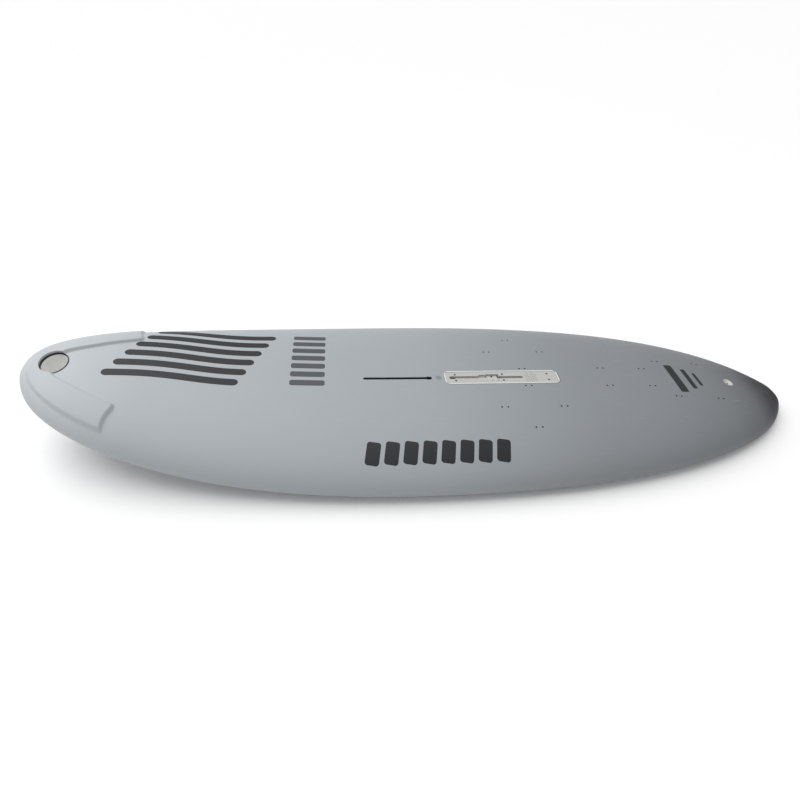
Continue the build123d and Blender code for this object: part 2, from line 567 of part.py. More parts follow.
def foil_wire(offset_x, drop, chord_share):
    """Closed foil section of the blade at one distance from the pivot."""
    chord = BLADE_CHORD * chord_share
    top = PIVOT_Z + BLADE_TOP - drop
    half = BLADE_THICKNESS / 2 * min(1.0, 0.4 + 0.6 * chord_share)
    x = PIVOT_X + offset_x
    sides = {}
    for side in (1, -1):
        points = []
        for i in range(FOIL_POINTS):
            share = (1 - math.cos(math.pi * i / (FOIL_POINTS - 1))) / 2
            bulge = max(0.0, 1 - abs(2 * share - 1) ** FOIL_POWER_X) ** FOIL_POWER_Y
            points.append(Vector(x, side * half * bulge, top - chord * share))
        sides[side] = points
    places = [i / (FOIL_POINTS - 1) for i in range(FOIL_POINTS)]
    port = Edge.make_spline(sides[1], parameters=places)
    starboard = Edge.make_spline(list(reversed(sides[-1])), parameters=places)
    return Wire([port, starboard])


def centreboard_blade():
    """Foil blade with its pivot drum, in one moulding."""
    foil = Solid.make_loft([foil_wire(*station) for station in BLADE_STATIONS], ruled=True)
    root = [(PIVOT_X + x, PIVOT_Z + z) for x, z in ROOT_OUTLINE]
    web = extrude(Plane.XZ * make_face(Polyline(*root, close=True)), ROOT_THICKNESS / 2, both=True)
    half = DRUM_WIDTH / 2
    drum = crosswise(PIVOT_X, PIVOT_Z, -half, half, DRUM_R)
    drum -= box(PIVOT_X - DRUM_R, PIVOT_X + DRUM_R, -half, half, PIVOT_Z + DRUM_FLAT, PIVOT_Z + DRUM_R)
    blade = foil + web + drum
    blade -= crosswise(PIVOT_X, PIVOT_Z, -half - 1, half + 1, BUSH_R)
    for y in (-LEVER_SCREW_Y, LEVER_SCREW_Y):
        z = PIVOT_Z + DRUM_FLAT
        blade -= upright(PIVOT_X, y, z - LEVER_SCREW_LENGTH, z + 1, LEVER_SCREW_R + RUNNING)
    return blade


def centreboard_lever():
    """Foot lever screwed to the drum: a long front arm and a short rear arm."""
    z0, z1 = PIVOT_Z + LEVER_Z0 + GAP, PIVOT_Z + LEVER_Z1
    pad = box(PIVOT_X - PAD_HALF, PIVOT_X + PAD_HALF, -PAD_WIDTH / 2, PAD_WIDTH / 2, z0, PIVOT_Z + PAD_TOP)
    arm_half = LEVER_FRONT_WIDTH / 2
    arm = box(PIVOT_X, PIVOT_X + LEVER_FRONT, -arm_half, arm_half, z0, z1)
    end = PIVOT_X + LEVER_FRONT
    notch = [(end + 1, z1 + 1), (end - THUMB_NOTCH, z1 + 1), (end + 1, z0 + 2)]
    arm -= extrude(Plane.XZ * make_face(Polyline(*notch, close=True)), arm_half + 1, both=True)
    tail_half = LEVER_REAR_WIDTH / 2
    tail = box(PIVOT_X - LEVER_REAR, PIVOT_X, -tail_half, tail_half, z0, PIVOT_Z + LEVER_REAR_Z1)
    lever = pad + arm + tail
    for y in (-LEVER_SCREW_Y, LEVER_SCREW_Y):
        lever -= upright(PIVOT_X, y, 0, 2 * THICKNESS, LEVER_SCREW_R + RUNNING)
        head_z = PIVOT_Z + PAD_TOP - LEVER_SCREW_HEAD - 2 * GAP
        lever -= upright(PIVOT_X, y, head_z, 2 * THICKNESS, LEVER_SCREW_HEAD_R + GAP)
    return lever


def lever_screws():
    """Two recessed screws that clamp the lever to the drum."""
    screws = []
    for y in (-LEVER_SCREW_Y, LEVER_SCREW_Y):
        top = PIVOT_Z + PAD_TOP - 2 * GAP
        screw = upright(PIVOT_X, y, top - LEVER_SCREW_HEAD, top, LEVER_SCREW_HEAD_R)
        screw += upright(PIVOT_X, y, PIVOT_Z + DRUM_FLAT - LEVER_SCREW_LENGTH + 1, top, LEVER_SCREW_R)
        screws.append(screw.solid())
    return Compound(children=screws)


def pivot_pin():
    """Steel pin the blade turns on, held in both case halves."""
    return crosswise(PIVOT_X, PIVOT_Z, -PIN_HALF, PIN_HALF, PIN_R)


def pivot_bush():
    """Bearing sleeve pressed into the drum."""
    half = DRUM_WIDTH / 2
    sleeve = crosswise(PIVOT_X, PIVOT_Z, -half, half, BUSH_R)
    return sleeve - crosswise(PIVOT_X, PIVOT_Z, -half - 1, half + 1, PIN_R + RUNNING)


def thrust_washer(side):
    """Friction washer between the drum and one case half."""
    y0 = side * (DRUM_WIDTH / 2 + GAP / 2)
    y1 = y0 + side * WASHER_THICK
    washer = crosswise(PIVOT_X, PIVOT_Z, y0, y1, WASHER_R)
    return washer - crosswise(PIVOT_X, PIVOT_Z, 2 * y0, -2 * y0, PIN_R + RUNNING)


def slot_seal(side):
    """Flexible lip beside the centreboard slot, flush with the bottom."""
    y0, y1 = side * SEAL_INNER, side * SEAL_OUTER
    return box(SEAL_REAR_X, SEAL_FRONT_X, y0, y1, SLOT_SEAL_Z0, SLOT_SEAL_Z1)


def fin_box():
    """Tapered fin socket, open at the bottom, with a bolt hole in its roof."""
    half_length, half = FIN_BOX_LENGTH / 2, FIN_BOX_WIDTH / 2
    mouth_z = rocker(FIN_X) + GAP
    block = box(FIN_X - half_length, FIN_X + half_length, -half, half, mouth_z, FIN_BOX_TOP)
    mouth = Pos(FIN_X, 0, mouth_z - 1) * RectangleRounded(FIN_MOUTH_LENGTH, FIN_MOUTH_WIDTH, 4)
    roof = Pos(FIN_X, 0, FIN_POCKET_Z) * RectangleRounded(FIN_ROOF_LENGTH, FIN_ROOF_WIDTH, 4)
    block -= loft([mouth, roof])
    return block - upright(FIN_X, 0, 0, THICKNESS, FIN_BOLT_R)


def fin_bolt_cup():
    """Dished washer cup in the deck and the bolt tube down to the fin box."""
    top = deck_height(FIN_X, 0)
    cup = upright(FIN_X, 0, top - FIN_CUP_HEIGHT, top + FIN_RIM, FIN_CUP_R)
    cup += upright(FIN_X, 0, FIN_BOX_TOP + GAP, top - FIN_CUP_HEIGHT / 2, FIN_TUBE_R)
    cup = cup & full_hull(0.0)
    sphere_r = (FIN_DISH_R**2 + FIN_CUP_DEPTH**2) / (2 * FIN_CUP_DEPTH)
    cup -= Location((FIN_X, 0, top - FIN_CUP_DEPTH + sphere_r)) * Sphere(sphere_r)
    return cup - upright(FIN_X, 0, 0, 2 * THICKNESS, FIN_BOLT_R)


def nodes():
    """Every sub-part by node name."""
    return {
        "deck_skin": deck_skin(),
        "hull_skin": hull_skin(),
        "foam_core": foam_core(),
        "nose_handle_liner": nose_handle_liner(),
        "nose_handle_seal": nose_handle_seal(),
        "mast_track_box": mast_track_box(),
        "vent_housing": vent_housing(),
        "vent_screw": vent_screw(),
        "vent_oring": vent_oring(),
        "centreboard_case_port": case_half(1),
        "centreboard_case_starboard": case_half(-1),
        "case_joining_screws": case_joining_screws(),
        "case_cover": case_cover(),
        "cover_screws": cover_screws(),
        "centreboard_blade": centreboard_blade(),
        "centreboard_lever": centreboard_lever(),
        "lever_screws": lever_screws(),
        "pivot_pin": pivot_pin(),
        "pivot_bush": pivot_bush(),
        "thrust_washer_port": thrust_washer(1),
        "thrust_washer_starboard": thrust_washer(-1),
        "slot_seal_port": slot_seal(1),
        "slot_seal_starboard": slot_seal(-1),
        "fin_box": fin_box(),
        "fin_bolt_cup": fin_bolt_cup(),
        "strap_inserts_front_port": strap_inserts(1, FRONT_INSERTS),
        "strap_inserts_front_starboard": strap_inserts(-1, FRONT_INSERTS),
        "strap_inserts_rear_port": strap_inserts(1, REAR_INSERTS),
        "strap_inserts_rear_starboard": strap_inserts(-1, REAR_INSERTS),
    }


os.makedirs("parts", exist_ok=True)
for name, shape in nodes().items():
    export_step(shape, f"parts/{name}.step")
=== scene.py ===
import math
import bmesh
import bpy
import numpy as np
from mathutils import Matrix, Vector


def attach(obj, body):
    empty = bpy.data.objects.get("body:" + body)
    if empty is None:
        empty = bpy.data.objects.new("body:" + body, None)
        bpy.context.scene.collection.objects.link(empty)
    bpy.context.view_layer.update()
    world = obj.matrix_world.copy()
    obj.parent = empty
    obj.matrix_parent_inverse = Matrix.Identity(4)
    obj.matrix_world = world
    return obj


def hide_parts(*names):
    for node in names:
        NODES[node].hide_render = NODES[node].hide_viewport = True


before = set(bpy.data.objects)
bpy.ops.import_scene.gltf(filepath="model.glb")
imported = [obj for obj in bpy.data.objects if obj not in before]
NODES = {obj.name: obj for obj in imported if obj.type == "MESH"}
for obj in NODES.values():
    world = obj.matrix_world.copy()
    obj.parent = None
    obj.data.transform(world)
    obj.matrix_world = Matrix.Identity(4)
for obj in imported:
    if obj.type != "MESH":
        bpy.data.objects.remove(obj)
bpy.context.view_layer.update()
MM = 0.001

# Hull form, in millimetres, as in the CAD
HALF = 1285.0
HALF_WIDTH = 400.0
THICK = 140.0
WIDE_X = 60.0
TAIL_P, TAIL_Q, NOSE_P, NOSE_Q = 2.25, 1.8, 2.1, 2.25
TIP = 0.99997
SCOOP, SCOOP_X, SCOOP_P = 172.0, 30.0, 2.9
KICK, KICK_X = 4.0, -750.0
TAIL_T, NOSE_T, THICK_P = 45.0, 55.0, 4.5
ROUND_LENGTH, ROUND_DEPTH = 30.0, 0.975
RAIL, DECK_P, BOTTOM_P = 0.24, 2.8, 5.0
SKIN = 3.0

# Fittings, in millimetres
HANDLE_X, HANDLE_RX, HANDLE_RY, LINER = 1196.0, 33.0, 46.0, 3.3
BAND_HEIGHT, BAND_INSET, BAND_END_X = 9.0, 29.0, 1010.0
BAND_INNER = [(992, 150), (1060, 122), (1125, 86), (1168, 62), (1184, 46)]
BAND_APEX_X, BAND_CORNER = 1190.0, (1000, 188)
BAND_SOFT = 10.0
BAND_END_CURVE, BAND_REACH = [(988, 166), BAND_CORNER, (1006, 208)], 60
TRACK_X0, TRACK_X1, TRACK_W, ENTRY_W, ENTRY_L = 42.0, 273.0, 11.0, 15.0, 22.0
COVER_X0, COVER_X1, COVER_W, COVER_R, COVER_GAP = -399.0, -1.0, 65.0, 17.0, 3.0
COVER_RIM = 4.0
VENT_X, VENT_R, FIN_X, CUP_R = 20.0, 9.8, -1058.0, 17.3
INSERTS = [(-176, 142), (-268, 225), (-282, 44), (-375, 142)]
INSERTS += [(-571, 46), (-729, 46), (-805, 94), (-969, 94)]
INSERT_GAP, INSERT_R = 20.5, 3.0
CASE_SLOT = (-771, -66, 24.3)
FIN_BOX_HALF, FIN_BOX_SIDE = 93.3, 14.3
CUT_GAP = 0.3
DECK_CUT, BOTTOM_CUT = (20, 400), (-100, 300)

# Grid lines of the shells: along the body, under the nose band, across
DECK_GRID, BOTTOM_GRID = (190, 170, 340), (160, 40, 130)
FINE_MARGIN, TIP_ZONE, TIP_LINES = 50, 12, 12

# Printed marks, in millimetres: half width, corner radius, then places
MARK_LIFT = 0.25
WAVE_HALF, WAVE_CORNER, WAVE_SWING, WAVE_PERIOD, WAVE_START_X = 15, 15, 9, 500, 560
WAVE_X0, WAVE_X1, WAVE_Y0, WAVE_STEP_X, WAVE_STEP_Y, WAVES = 572, 968, -226, 19, 50, 6
BLOCK_HALF, BLOCK_CORNER, BLOCK_SLANT = 21, 9, 12
BLOCK_X0, BLOCK_X1, BLOCK_Y0, BLOCK_Y1, BLOCKS = -144, 250, 266, 336, 8
DASH_HALF, DASH_CORNER, DASH_X0, DASH_X1, DASH_Y0, DASH_Y1, DASHES = 13, 8, 398, 510, -232, 24, 7
LINE_CORNER, TAIL_LINES = 5, [(-842, 72, 15), (-893, 52, 9), (-928, 34, 6)]


def half_width(x):
    """Half the board's width at x."""
    aft = x < WIDE_X
    reach = np.where(aft, WIDE_X + HALF, HALF - WIDE_X)
    share = np.minimum(TIP * np.abs(x - WIDE_X) / reach, TIP)
    tail = (1 - share**TAIL_P) ** (1 / TAIL_Q)
    nose = (1 - share**NOSE_P) ** (1 / NOSE_Q)
    return HALF_WIDTH * np.where(aft, tail, nose)


def full_thickness(x):
    """Centreline thickness before the tips are rounded."""
    tip = np.where(x < 0, TAIL_T, NOSE_T)
    return tip + (THICK - tip) * (1 - np.minimum(np.abs(x) / HALF, 1) ** THICK_P)


def thickness(x):
    """Centreline thickness."""
    into = np.clip((np.abs(x) - (HALF - ROUND_LENGTH)) / ROUND_LENGTH, 0, 1)
    return full_thickness(x) * np.sqrt(1 - (ROUND_DEPTH * into) ** 2)


def rocker(x):
    """Height of the bottom centreline."""
    scoop = np.clip((x - SCOOP_X) / (HALF - SCOOP_X), 0, 1)
    kick = np.clip((KICK_X - x) / (HALF + KICK_X), 0, 1)
    return SCOOP * scoop**SCOOP_P + KICK * kick**2 + RAIL * (full_thickness(x) - thickness(x)) * 2


def deck_height(x, y):
    """Height of the plain deck surface."""
    x, y = np.asarray(x, float), np.asarray(y, float)
    share = np.minimum(np.abs(y) / half_width(x), 1)
    rail = RAIL * thickness(x)
    return rocker(x) + rail + (thickness(x) - rail) * np.sqrt(1 - share**DECK_P)


def smooth_line(points, rounds):
    """Corner-cutting of a polyline, ends kept."""
    points = np.array(points, float)
    for _ in range(rounds):
        a, b = points[:-1], points[1:]
        mid = np.stack([a * 0.75 + b * 0.25, a * 0.25 + b * 0.75], 1).reshape(-1, 2)
        points = np.vstack([points[:1], mid, points[-1:]])
    return points


def band_outline():
    """Closed outline of the raised nose band."""
    turn = np.linspace(0, math.pi / 2, 40)
    x = BAND_END_X + (HALF - BAND_INSET - BAND_END_X) * np.sin(turn)
    slope = half_width(x) - half_width(x - 1)
    y = np.maximum(half_width(x) - BAND_INSET * np.hypot(1, slope), 0)
    outer = np.stack([x, y], 1)[y > BAND_INSET / 2]
    tip = [(HALF - BAND_INSET, 0)]
    inner = smooth_line(BAND_INNER + [(BAND_APEX_X, 20), (BAND_APEX_X, 0)], 2)
    end = smooth_line([inner[0]] + BAND_END_CURVE + [outer[0]], 2)
    port = np.vstack([inner[::-1], end[1:-1], outer, tip])
    starboard = port[::-1][1:-1] * (1, -1)
    return np.vstack([port, starboard])


def outline_depth(x, y, outline):
    """Distance to a closed outline, positive inside it."""
    a, b = outline, np.roll(outline, -1, 0)
    p = np.stack([x.ravel(), y.ravel()], 1)
    best = np.full(len(p), 1e9)
    inside = np.zeros(len(p), bool)
    for (ax, ay), (bx, by) in zip(a, b):
        ex, ey = bx - ax, by - ay
        t = np.clip(((p[:, 0] - ax) * ex + (p[:, 1] - ay) * ey) / max(ex * ex + ey * ey, 1e-9), 0, 1)
        best = np.minimum(best, np.hypot(p[:, 0] - ax - t * ex, p[:, 1] - ay - t * ey))
        if ey != 0:
            cross = (ay > p[:, 1]) != (by > p[:, 1])
            inside ^= cross & (p[:, 0] < ex * (p[:, 1] - ay) / ey + ax)
    return np.where(inside, best, -best).reshape(x.shape)


def band_rise(x, y):
    """Height of the nose band above the plain deck, with soft edges."""
    rise = np.zeros_like(x)
    near = x > BAND_END_X - BAND_REACH
    depth = outline_depth(x[near], y[near], band_outline())
    t = np.clip(depth / BAND_SOFT + 0.1, 0, 1)
    rise[near] = BAND_HEIGHT * t * t * (3 - 2 * t)
    return rise


def new_mesh(name, verts, faces, smooth=True, closed=False):
    """A mesh object from millimetre vertices."""
    mesh = bpy.data.meshes.new(name)
    mesh.from_pydata([tuple(v) for v in np.asarray(verts, float) * MM], [], faces)
    mesh.update()
    mesh.validate()
    if closed:
        work = bmesh.new()
        work.from_mesh(mesh)
        bmesh.ops.recalc_face_normals(work, faces=work.faces)
        work.to_mesh(mesh)
        work.free()
    if smooth:
        mesh.polygons.foreach_set("use_smooth", [True] * len(mesh.polygons))
    obj = bpy.data.objects.new(name, mesh)
    bpy.context.scene.collection.objects.link(obj)
    return obj


def stations(body, nose):
    """Lengthwise grid lines, finer under the nose band."""
    fine = BAND_END_X - FINE_MARGIN
    base = -HALF * np.cos(np.linspace(0, math.pi, body))
    nose = np.linspace(fine, HALF - TIP_ZONE, nose)
    tip = HALF - TIP_ZONE * (1 - np.linspace(0, 1, TIP_LINES)[1:]) ** 2
    return np.concatenate([base[base < fine - 2], nose, tip])


def half_shell(name, upper, body, nose, columns):
    """Thin closed deck or bottom shell with the exact CAD form and soft band edges."""
    xs = stations(body, nose)
    share = np.cos(np.linspace(0, math.pi, columns + 1))
    power = DECK_P if upper else BOTTOM_P
    sign = 1 if upper else -1
    layers = []
    for inset in (0.0, SKIN):
        x = xs * (HALF - inset) / HALF
        rail = RAIL * thickness(x)
        width = np.maximum(half_width(x) - inset, 1.0)
        depth = (thickness(x) - rail if upper else rail) - inset
        depth = np.maximum(depth, 1.0)
        X = np.repeat(x[:, None], columns + 1, 1)
        Y = width[:, None] * share[None]
        Z = (rocker(x) + rail)[:, None] + sign * depth[:, None] * np.sqrt(1 - np.abs(share[None]) ** power)
        if upper and inset == 0:
            Z = Z + band_rise(X, Y)
        layers.append(np.stack([X, Y, Z], -1).reshape(-1, 3))
    rows, cols = len(xs), columns + 1
    count = rows * cols
    faces = []
    for layer in (0, 1):
        base = layer * count
        flip = (layer == 0) != upper
        for i in range(rows - 1):
            for j in range(cols - 1):
                a = base + i * cols + j
                quad = (a, a + cols, a + cols + 1, a + 1)
                faces.append(quad[::-1] if flip else quad)
        for i, last in ((0, False), (rows - 1, True)):
            ring = [base + i * cols + j for j in range(cols)]
            faces.append(tuple(ring if (flip != last) else ring[::-1]))
    for j, side in ((0, False), (cols - 1, True)):
        for i in range(rows - 1):
            a, b = i * cols + j, (i + 1) * cols + j
            quad = (a, b, b + count, a + count)
            faces.append(quad if side == upper else quad[::-1])
    for i, last in ((0, False), (rows - 1, True)):
        a, b = i * cols, i * cols + cols - 1
        quad = (a, b, b + count, a + count)
        faces.append(quad[::-1] if last != upper else quad)
    return new_mesh(name, np.vstack(layers), faces, closed=True)


def rounded_rectangle(x0, x1, half, radius0, radius1, steps=10):
    """Outline of a rectangle with its own corner radius at each end."""
    points = []
    corners = [(x1, half, radius1), (x0, half, radius0), (x0, -half, radius0), (x1, -half, radius1)]
    for quarter, (cx, cy, r) in enumerate(corners):
        ox = cx - r if cx == x1 else cx + r
        oy = cy - math.copysign(r, cy)
        for k in range(steps + 1):
            a = math.pi / 2 * (quarter + k / steps)
            points.append((ox + r * math.cos(a), oy + r * math.sin(a)))
    return points


def circle(x, y, rx, ry, steps=48):
    """Outline of an ellipse."""
    turn = [2 * math.pi * k / steps for k in range(steps)]
    return [(x + rx * math.cos(a), y + ry * math.sin(a)) for a in turn]


def arc(x, radius, start, stop, count):
    """Points of an arc centred on the board's centreline."""
    return [(x + radius * math.cos(a), radius * math.sin(a)) for a in np.linspace(start, stop, count)]


def track_outline():
    """Outline of the mast slot with its wider entry."""
    r, big = TRACK_W / 2, ENTRY_W / 2
    quarter = math.pi / 2
    front = arc(TRACK_X1 - r, r, -quarter, quarter, 13)
    head = arc(TRACK_X0 + ENTRY_L - big, big, math.asin(r / big), quarter, 7)
    tail = arc(TRACK_X0 + big, big, quarter, 3 * quarter, 17)
    return front + head + tail + [(x, -y) for x, y in reversed(head)]


def prisms(name, outlines, z0, z1, mat):
    """Closed upright prisms, one for each outline, in one mesh."""
    verts, faces = [], []
    for outline in outlines:
        n, base = len(outline), len(verts)
        verts += [(x, y, z0) for x, y in outline] + [(x, y, z1) for x, y in outline]
        faces.append(tuple(base + k for k in reversed(range(n))))
        faces.append(tuple(base + n + k for k in range(n)))
        for k in range(n):
            m = (k + 1) % n
            faces.append((base + k, base + m, base + n + m, base + n + k))
    obj = new_mesh(name, verts, faces, smooth=False, closed=True)
    paint(obj, mat)
    return obj


def cut(obj, cutter):
    """Subtracts the cutter and removes it."""
    boolean = obj.modifiers.new("cut", "BOOLEAN")
    boolean.operation, boolean.solver, boolean.object = "DIFFERENCE", "MANIFOLD", cutter
    boolean.material_mode = "TRANSFER"
    bpy.context.view_layer.objects.active = obj
    bpy.context.view_layer.update()
    graph = bpy.context.evaluated_depsgraph_get()
    done = bpy.data.meshes.new_from_object(obj.evaluated_get(graph))
    obj.modifiers.clear()
    obj.data = done
    bpy.data.objects.remove(cutter)
    done.polygons.foreach_set("use_smooth", [True] * len(done.polygons))
    done.set_sharp_from_angle(angle=math.radians(35))
    return obj


# Materials
def material(name, color, roughness, bump=0.0, grain=900.0, metallic=0.0, speckle=0.0, specular=0.5):
    """A moulded or metal surface with fine colour variation and relief."""
    mat = bpy.data.materials.new(name)
    mat.use_nodes = True
    tree = mat.node_tree
    shader = tree.nodes["Principled BSDF"]
    shader.inputs["Metallic"].default_value = metallic
    shader.inputs["Specular IOR Level"].default_value = specular
    shader.inputs["Base Color"].default_value = (*color, 1)
    place = tree.nodes.new("ShaderNodeTexCoord")
    noise = tree.nodes.new("ShaderNodeTexNoise")
    noise.inputs["Scale"].default_value = grain
    noise.inputs["Detail"].default_value = 3.0
    tree.links.new(place.outputs["Object"], noise.inputs["Vector"])
    broad = tree.nodes.new("ShaderNodeTexNoise")
    broad.inputs["Scale"].default_value = 14.0
    tree.links.new(place.outputs["Object"], broad.inputs["Vector"])
    rough = tree.nodes.new("ShaderNodeMapRange")
    rough.inputs["To Min"].default_value = max(roughness - 0.07, 0.03)
    rough.inputs["To Max"].default_value = min(roughness + 0.07, 1.0)
    tree.links.new(broad.outputs["Fac"], rough.inputs["Value"])
    tree.links.new(rough.outputs["Result"], shader.inputs["Roughness"])
    tint = tree.nodes.new("ShaderNodeMix")
    tint.data_type = "RGBA"
    tint.inputs["A"].default_value = (*[c * (1 - speckle) for c in color], 1)
    tint.inputs["B"].default_value = (*[min(c * (1 + speckle), 1) for c in color], 1)
    tree.links.new(broad.outputs["Fac"], tint.inputs["Factor"])
    tree.links.new(tint.outputs["Result"], shader.inputs["Base Color"])
    relief = tree.nodes.new("ShaderNodeBump")
    relief.inputs["Strength"].default_value = bump
    relief.inputs["Distance"].default_value = 0.0004
    tree.links.new(noise.outputs["Fac"], relief.inputs["Height"])
    tree.links.new(relief.outputs["Normal"], shader.inputs["Normal"])
    return mat


# Deck tone along the board with painted light and shade, paler towards the nose and darkening to painted
# shade at the rounded tail end: x in metres, then linear colour
DECK_TONE_AND_SHADE = [
    (-1.285, (0.004, 0.004, 0.005)),
    (-1.25, (0.006, 0.006, 0.008)),
    (-1.19, (0.044, 0.043, 0.049)),
    (-1.11, (0.128, 0.136, 0.146)),
    (-0.99, (0.178, 0.190, 0.200)),
    (-0.74, (0.215, 0.232, 0.247)),
    (-0.46, (0.240, 0.258, 0.272)),
    (0.05, (0.325, 0.350, 0.370)),
    (0.33, (0.345, 0.375, 0.395)),
    (0.95, (0.400, 0.430, 0.450)),
    (1.2, (0.490, 0.520, 0.545)),
]


def deck_material(name, tones_and_shade):
    """Satin skin with painted light and shade along it, paler towards the nose and darkest at the tail end,
    with faint scuffs and a fine grain.
    """
    mat = material(name, (0.3, 0.3, 0.3), 0.46, bump=0.12, grain=1400.0)
    tree = mat.node_tree
    shader = tree.nodes["Principled BSDF"]
    shader.inputs["Specular IOR Level"].default_value = 0.15
    place = next(n for n in tree.nodes if n.bl_idname == "ShaderNodeTexCoord")
    split = tree.nodes.new("ShaderNodeSeparateXYZ")
    tree.links.new(place.outputs["Object"], split.inputs["Vector"])
    span = tree.nodes.new("ShaderNodeMapRange")
    span.inputs["From Min"].default_value = -HALF * MM
    span.inputs["From Max"].default_value = HALF * MM
    tree.links.new(split.outputs["X"], span.inputs["Value"])
    # painted light and shade: this ramp pales the deck towards the nose and shades it towards the tail
    ramp = tree.nodes.new("ShaderNodeValToRGB")
    ramp.color_ramp.interpolation = "LINEAR"
    elements = ramp.color_ramp.elements
    while len(elements) > 1:
        elements.remove(elements[-1])
    for k, (x, tone) in enumerate(tones_and_shade):
        position = (x / MM + HALF) / (2 * HALF)
        element = elements[0] if k == 0 else elements.new(position)
        element.position = position
        element.color = (*tone, 1)
    tree.links.new(span.outputs["Result"], ramp.inputs["Fac"])
    streak_map = tree.nodes.new("ShaderNodeMapping")
    streak_map.inputs["Scale"].default_value = (3.0, 40.0, 40.0)
    tree.links.new(place.outputs["Object"], streak_map.inputs["Vector"])
    streak = tree.nodes.new("ShaderNodeTexNoise")
    streak.inputs["Scale"].default_value = 4.0
    streak.inputs["Detail"].default_value = 6.0
    tree.links.new(streak_map.outputs["Vector"], streak.inputs["Vector"])
    scuff = tree.nodes.new("ShaderNodeMapRange")
    scuff.inputs["From Min"].default_value = 0.62
    scuff.inputs["From Max"].default_value = 0.80
    scuff.inputs["To Max"].default_value = 0.10
    tree.links.new(streak.outputs["Fac"], scuff.inputs["Value"])
    mix = tree.nodes.new("ShaderNodeMix")
    mix.data_type = "RGBA"
    mix.inputs["B"].default_value = (0.62, 0.63, 0.65, 1)
    tree.links.new(scuff.outputs["Result"], mix.inputs["Factor"])
    tree.links.new(ramp.outputs["Color"], mix.inputs["A"])
    tree.links.new(mix.outputs["Result"], shader.inputs["Base Color"])
    return mat


def rim_highlight_material(name, plain, rim):
    """The cover's moulded plastic, with a painted highlight that makes it paler on the raised rim round its
    edge.
    """
    mat = material(name, plain, 0.50, bump=0.35, grain=1800)
    tree = mat.node_tree
    split = tree.nodes.new("ShaderNodeSeparateXYZ")
    place = next(n for n in tree.nodes if n.bl_idname == "ShaderNodeTexCoord")
    tree.links.new(place.outputs["Object"], split.inputs["Vector"])
    depths = []
    for axis, low, high in (("X", COVER_X0, COVER_X1), ("Y", -COVER_W / 2, COVER_W / 2)):
        away = tree.nodes.new("ShaderNodeMath")
        away.operation = "SUBTRACT"
        away.inputs[1].default_value = (low + high) / 2 * MM
        tree.links.new(split.outputs[axis], away.inputs[0])
        size = tree.nodes.new("ShaderNodeMath")
        size.operation = "ABSOLUTE"
        tree.links.new(away.outputs["Value"], size.inputs[0])
        over = tree.nodes.new("ShaderNodeMapRange")
        over.inputs["From Min"].default_value = ((high - low) / 2 - COVER_RIM) * MM
        over.inputs["From Max"].default_value = ((high - low) / 2 - COVER_RIM + 1.0) * MM
        tree.links.new(size.outputs["Value"], over.inputs["Value"])
        depths.append(over)
    edge = tree.nodes.new("ShaderNodeMath")
    edge.operation = "MAXIMUM"
    for k, depth in enumerate(depths):
        tree.links.new(depth.outputs["Result"], edge.inputs[k])
    # painted highlight: the paler rim colour mixed in over the raised rim
    mix = tree.nodes.new("ShaderNodeMix")
    mix.data_type = "RGBA"
    mix.inputs["A"].default_value = (*plain, 1)
    mix.inputs["B"].default_value = (*rim, 1)
    tree.links.new(edge.outputs["Value"], mix.inputs["Factor"])
    tree.links.new(mix.outputs["Result"], tree.nodes["Principled BSDF"].inputs["Base Color"])
    return mat


def paint(obj, mat):
    """Gives a piece one material."""
    obj.data.materials.clear()
    obj.data.materials.append(mat)


def paint_node(name, mat, bevel=0.0):
    """Gives a CAD node its material, and soft edges where asked."""
    obj = NODES[name]
    if not obj.material_slots:
        obj.data.materials.append(mat)
    for slot in obj.material_slots:
        slot.link = "OBJECT"
        slot.material = mat
    if bevel:
        soft = obj.modifiers.new("soft_edges", "BEVEL")
        soft.width, soft.segments, soft.limit_method = bevel * MM, 3, "ANGLE"
        soft.angle_limit = math.radians(40)
        soft.harden_normals = True


# deck skin, with painted light and shade along its length
SHELL = deck_material("deck_skin_satin", DECK_TONE_AND_SHADE)
WHITE = material("white_moulded", (0.84, 0.84, 0.82), 0.38, bump=0.08, speckle=0.04)
CUP = material("cup_moulded", (0.50, 0.50, 0.49), 0.38, bump=0.08, speckle=0.04)
# cover plastic, with a painted highlight on its raised rim
COVER = rim_highlight_material("cover_moulded", (0.45, 0.448, 0.43), (0.70, 0.70, 0.69))
LEVER = material("lever_moulded", (0.50, 0.496, 0.48), 0.45, bump=0.3, grain=1800, speckle=0.06)
CASE = material("case_moulded", (0.40, 0.40, 0.39), 0.55, bump=0.25, speckle=0.06)
BLACK = material("black_moulded", (0.012, 0.012, 0.014), 0.45, bump=0.25, speckle=0.2)
GREY = material("grey_moulded", (0.26, 0.27, 0.28), 0.45, bump=0.2, speckle=0.08)
BEARING = material("bearing_plastic", (0.72, 0.70, 0.64), 0.3, bump=0.05, speckle=0.03)
RUBBER = material("black_rubber", (0.018, 0.018, 0.019), 0.75, bump=0.5, grain=1600, speckle=0.2)
STEEL = material("screw_steel", (0.14, 0.14, 0.15), 0.32, bump=0.15, grain=2200, metallic=1.0, speckle=0.1)
FOAM = material("foam_beads", (0.80, 0.79, 0.75), 0.9, bump=0.9, grain=260, speckle=0.05)
MARK = material("mark_print", (0.016, 0.017, 0.020), 0.50, bump=0.1, grain=1400, speckle=0.25, specular=0.3)
MARK_GREY = material("mark_print_grey", (0.055, 0.060, 0.070), 0.50, bump=0.1, grain=1400, speckle=0.15)

